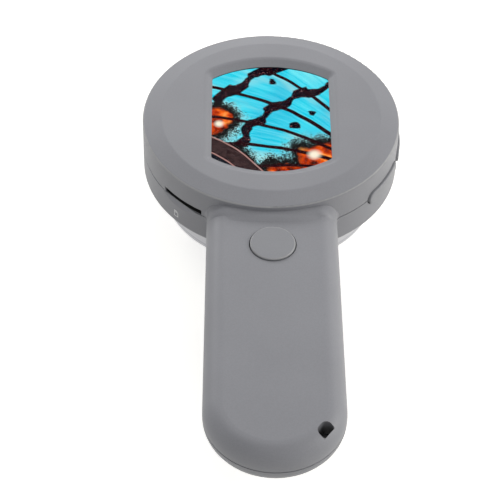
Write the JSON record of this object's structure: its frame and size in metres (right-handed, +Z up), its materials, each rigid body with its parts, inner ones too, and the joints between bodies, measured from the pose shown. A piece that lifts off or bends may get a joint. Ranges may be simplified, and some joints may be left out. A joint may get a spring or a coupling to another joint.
{
  "type": "handheld lcd digital microscope",
  "caption": "Handheld digital microscope: round head with a screen on top, flat handle with a push button, side keys, and a frosted hood that turns to focus.",
  "frame": {"origin": "on the optical axis at the mouth of the hood, where the specimen lies", "axes": "+Z up from the specimen along the optical axis to the screen, -Y along the handle, +X to the side with the keys"},
  "size_m": [0.0791, 0.1682, 0.0316],
  "materials": {
    "casing_plastic": "fine moulded texture, mid grey",
    "key_plastic": "fine moulded texture, mid grey",
    "hood_plastic": "frosted, translucent",
    "clear_cover": "clear, polished",
    "gasket_foam": "matte foam",
    "panel_glass": "lit colour display",
    "backlight_plastic": "white diffuser with metal tray",
    "bracket_steel": "stamped sheet",
    "screw_steel": "zinc plated",
    "flex_film": "amber film",
    "circuit_board": "green solder mask",
    "chip_package": "moulded black",
    "coil_ferrite": "pressed ferrite",
    "socket_steel": "plated sheet",
    "connector_plastic": "ivory moulded",
    "switch_body": "moulded black",
    "switch_plunger": "moulded",
    "cell_foil": "laminated foil",
    "tape": "double-sided tape",
    "lead_jacket": "soft jacket",
    "sensor_glass": "sensor package with cover glass",
    "filter_glass": "coated blue-green glass",
    "holder_plastic": "matte black",
    "lamp_emitter": "white package with yellow phosphor",
    "contact_gold": "plated",
    "barrel_plastic": "matte black",
    "lens_glass": "coated, polished"
  },
  "bodies": {
    "casing": {"upper_casing": "casing_plastic", "lower_casing": "casing_plastic", "case_screws": "screw_steel", "screen_cover": "clear_cover", "screen_gasket": "gasket_foam", "screen_panel": "panel_glass", "screen_backlight": "backlight_plastic", "screen_bracket": "bracket_steel", "bracket_screws": "screw_steel", "screen_flex": "flex_film", "screen_connector": "connector_plastic", "main_board": "circuit_board", "board_screws": "screw_steel", "processor_chip": "chip_package", "memory_chip": "chip_package", "power_chip": "chip_package", "power_coil": "coil_ferrite", "card_socket": "socket_steel", "port_shell": "socket_steel", "port_tongue": "switch_body", "front_key_switch": "switch_body", "rear_key_switch": "switch_body", "button_switch": "switch_body", "button_board": "circuit_board", "button_board_screws": "screw_steel", "handle_flex": "flex_film", "battery_cell": "cell_foil", "battery_pad": "tape", "battery_guard_board": "circuit_board", "battery_connector": "connector_plastic", "battery_leads": "lead_jacket", "sensor_board": "circuit_board", "board_connector": "connector_plastic", "image_sensor": "sensor_glass", "infrared_filter": "filter_glass", "lens_holder": "holder_plastic", "sensor_screws": "screw_steel", "lamp_board": "circuit_board", "lamps": "lamp_emitter", "lamp_board_screws": "screw_steel", "header_block": "switch_body", "header_pins": "contact_gold"},
    "button": {"handle_button": "key_plastic", "button_plunger": "switch_plunger"},
    "front_key_group": {"front_key": "key_plastic", "front_key_plunger": "switch_plunger"},
    "rear_key_group": {"rear_key": "key_plastic", "rear_key_plunger": "switch_plunger"},
    "hood": {"focus_hood": "hood_plastic"},
    "objective": {"objective_barrel": "barrel_plastic", "front_lens": "lens_glass", "rear_lens": "lens_glass", "lens_retainer": "barrel_plastic"}
  },
  "joints": [
    {"name": "button_press", "type": "slide", "parent": "casing", "child": "button", "axis": [0, 0, -1], "range_m": [0, 0.0005], "stiffness_N_per_m": 1500, "springref_m": -0.0006},
    {"name": "front_key_press", "type": "slide", "parent": "casing", "child": "front_key_group", "axis": [-0.8767, 0.481, 0], "range_m": [0, 0.00045], "stiffness_N_per_m": 1500, "springref_m": -0.0006},
    {"name": "rear_key_press", "type": "slide", "parent": "casing", "child": "rear_key_group", "axis": [-0.9998, -0.0218, 0], "range_m": [0, 0.00045], "stiffness_N_per_m": 1500, "springref_m": -0.0006},
    {"name": "hood_turn", "type": "hinge", "parent": "casing", "child": "hood", "pos_m": [0, 0, 0], "axis": [0, 0, 1], "range_deg": [-60, 60]},
    {"name": "barrel_focus", "type": "slide", "parent": "hood", "child": "objective", "axis": [0, 0, 1], "range_m": [-0.001, 0.001]}
  ],
  "couplings": [
    {"joint": "barrel_focus", "follows": "hood_turn", "m_per_rad": 0.00095}
  ]
}
